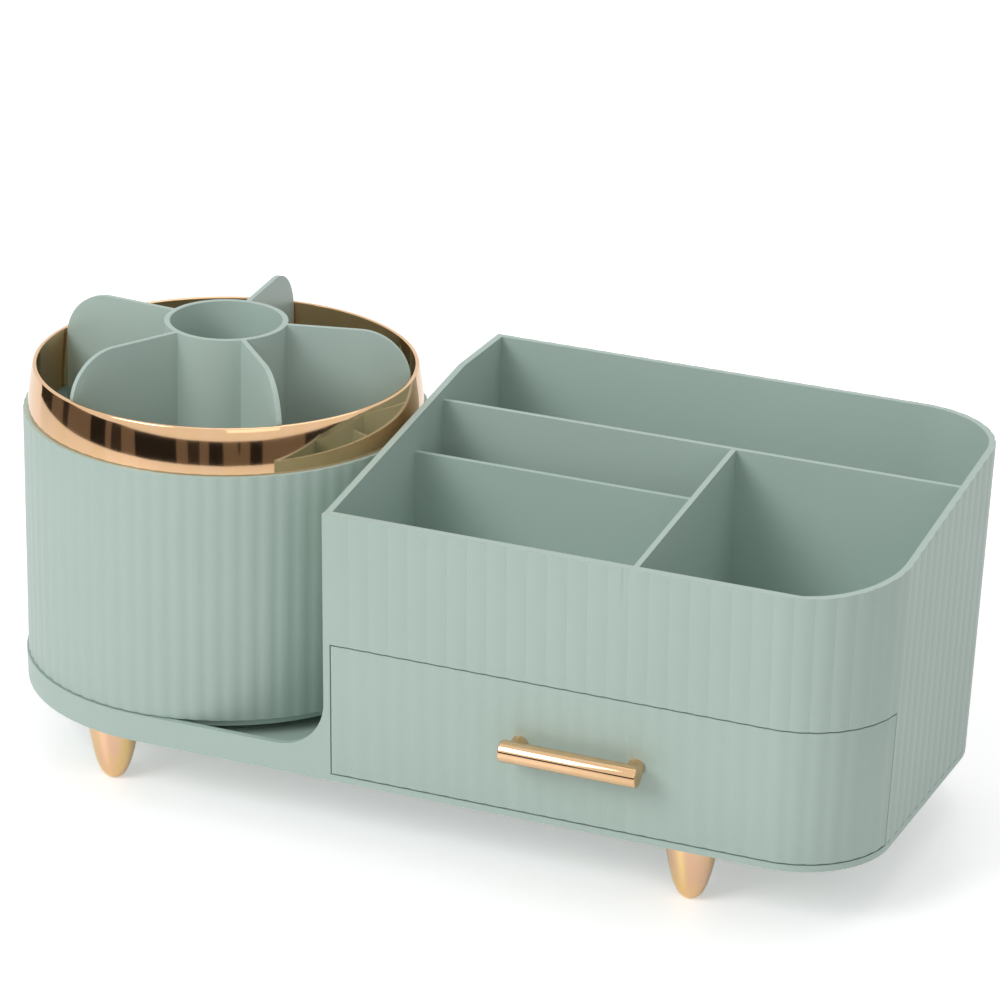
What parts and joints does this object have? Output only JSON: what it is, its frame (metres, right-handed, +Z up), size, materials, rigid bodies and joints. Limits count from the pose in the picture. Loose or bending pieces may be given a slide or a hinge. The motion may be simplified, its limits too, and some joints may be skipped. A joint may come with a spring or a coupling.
{
  "type": "rotating makeup organizer with drawer",
  "caption": "Makeup organizer with a fluted brush drum that turns on an oval tray, beside an open compartment box with a drawer, on tapered feet.",
  "frame": {"origin": "at floor level under the middle of the whole organizer's bounding box", "axes": "+X from the drum's end to the right-hand end, +Y from the drawer front to the back, +Z up"},
  "size_m": [0.3444, 0.1602, 0.1564],
  "materials": {
    "sage_plastic": "satin moulded, sage green",
    "gold_plating": "mirror-bright rose gold plating on plastic",
    "gold_feet": "satin rose gold plating on plastic",
    "gold_metal": "polished rose gold plated metal",
    "steel": "zinc plated",
    "bearing_steel": "polished steel",
    "inner_plastic": "plain moulded, off-white"
  },
  "bodies": {
    "base": {"body_shell": "sage_plastic", "base_plate": "sage_plastic", "base_screws": "steel", "foot_screws": "steel", "spindle_washer": "steel", "spindle_screw": "steel", "drawer_rail_left": "inner_plastic", "drawer_rail_right": "inner_plastic", "rail_screws": "steel", "foot_front_left": "gold_feet", "foot_back_left": "gold_feet", "foot_front_right": "gold_feet", "foot_back_right": "gold_feet"},
    "drum": {"drum_shell": "sage_plastic", "turntable": "sage_plastic", "drum_screws": "steel", "gold_ring": "gold_plating", "divider_insert": "sage_plastic"},
    "ball_race": {"ball_cage": "inner_plastic", "bearing_balls": "bearing_steel"},
    "drawer": {"drawer_box": "sage_plastic", "drawer_front": "sage_plastic", "handle_bar": "gold_metal", "handle_posts": "gold_metal", "handle_screws": "steel"}
  },
  "joints": [
    {"name": "drum_spin", "type": "hinge", "parent": "base", "child": "drum", "pos_m": [-0.09984, 0.00405, 0.036], "axis": [0, 0, 1], "continuous": true},
    {"name": "cage_spin", "type": "hinge", "parent": "base", "child": "ball_race", "pos_m": [-0.09984, 0.00405, 0.02875], "axis": [0, 0, 1], "continuous": true},
    {"name": "drawer_slide", "type": "slide", "parent": "base", "child": "drawer", "axis": [0, -1, 0], "range_m": [0, 0.0898]}
  ],
  "couplings": [
    {"joint": "cage_spin", "follows": "drum_spin", "ratio": 0.5}
  ]
}
